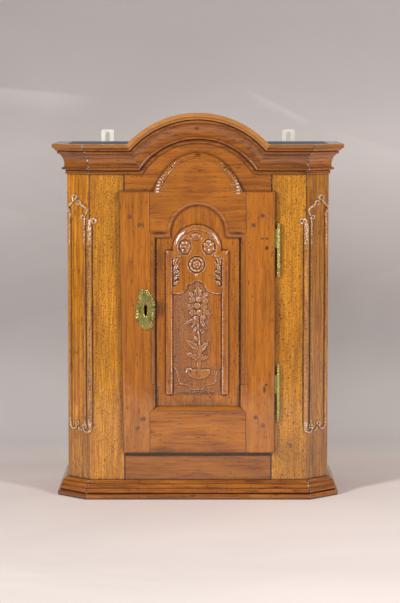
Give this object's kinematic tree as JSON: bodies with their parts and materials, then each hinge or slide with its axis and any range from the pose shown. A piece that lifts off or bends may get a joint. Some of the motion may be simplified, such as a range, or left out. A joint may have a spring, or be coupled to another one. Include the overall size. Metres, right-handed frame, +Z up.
{
  "type": "wall cabinet",
  "caption": "Small Baroque-style wall cabinet with canted corners, an arched cornice and one panelled, arch-topped door with a lock",
  "frame": {"origin": "under the middle of the cabinet's bounding box, on the plane that its base rests on", "axes": "+Z up, the door faces -Y, +Y points at the wall, +X to the viewer's right (hinge side)"},
  "size_m": [0.539, 0.2776, 0.7125],
  "materials": {
    "walnut_frame": "old walnut, vertical grain, worm-flecked, satin varnish",
    "walnut_door": "reddish walnut, satin to semi-gloss varnish",
    "walnut_moulding": "walnut mouldings with the grain along them, satin varnish",
    "walnut_side": "darker walnut side boards, satin",
    "softwood": "unvarnished aged softwood",
    "top_grey": "dust-darkened grey unvarnished wood",
    "peg_wood": "end-grain hardwood pegs",
    "brass": "aged brass, olive patina in the hollows",
    "iron": "dark forged iron",
    "hanger_steel": "pale zinc-plated steel",
    "bright_steel": "worn bright steel"
  },
  "bodies": {
    "carcass": {"bottom_board": "softwood", "top_board": "top_grey", "side_left": "walnut_side", "side_right": "walnut_side", "corner_post_left": "walnut_frame", "corner_post_right": "walnut_frame", "corner_bead_left": "walnut_frame", "corner_bead_right": "walnut_frame", "frame_stile_left": "walnut_frame", "frame_stile_right": "walnut_frame", "frame_rail_bottom": "walnut_door", "frame_rail_top": "walnut_door", "back_board_left": "softwood", "back_board_middle": "softwood", "back_board_right": "softwood", "shelf": "softwood", "base_front": "walnut_moulding", "base_cant_left": "walnut_moulding", "base_cant_right": "walnut_moulding", "base_side_left": "walnut_moulding", "base_side_right": "walnut_moulding", "cornice_arch": "walnut_moulding", "cornice_front_left": "walnut_moulding", "cornice_front_right": "walnut_moulding", "cornice_cant_left": "walnut_moulding", "cornice_cant_right": "walnut_moulding", "cornice_side_left": "walnut_moulding", "cornice_side_right": "walnut_moulding", "wall_hanger_left": "hanger_steel", "wall_hanger_right": "hanger_steel", "hanger_screws": "hanger_steel", "hinge_leaf_frame_upper": "brass", "hinge_leaf_frame_lower": "brass", "hinge_pins": "iron", "hinge_nails_frame": "iron", "strike_plate": "iron", "strike_nails": "iron"},
    "door": {"door_stile_lock": "walnut_door", "door_stile_hinge": "walnut_door", "door_rail_top": "walnut_door", "door_rail_bottom": "walnut_door", "door_panel": "walnut_door", "door_pegs": "peg_wood", "hinge_leaf_door_upper": "brass", "hinge_leaf_door_lower": "brass", "hinge_nails_door": "iron", "escutcheon": "brass", "escutcheon_pins": "brass", "lock_case": "iron", "lock_cover": "iron", "lock_key_post": "bright_steel", "lock_spring": "iron", "lock_screws": "iron"},
    "lock_bolt": {"lock_bolt": "iron"}
  },
  "joints": [
    {"name": "door_hinge", "type": "hinge", "parent": "carcass", "child": "door", "pos_m": [0.148, -0.11825, 0.3], "axis": [0, 0, 1], "range_deg": [0, 165]},
    {"name": "lock_bolt_slide", "type": "slide", "parent": "door", "child": "lock_bolt", "axis": [-1, 0, 0], "range_m": [0, 0.01]}
  ]
}
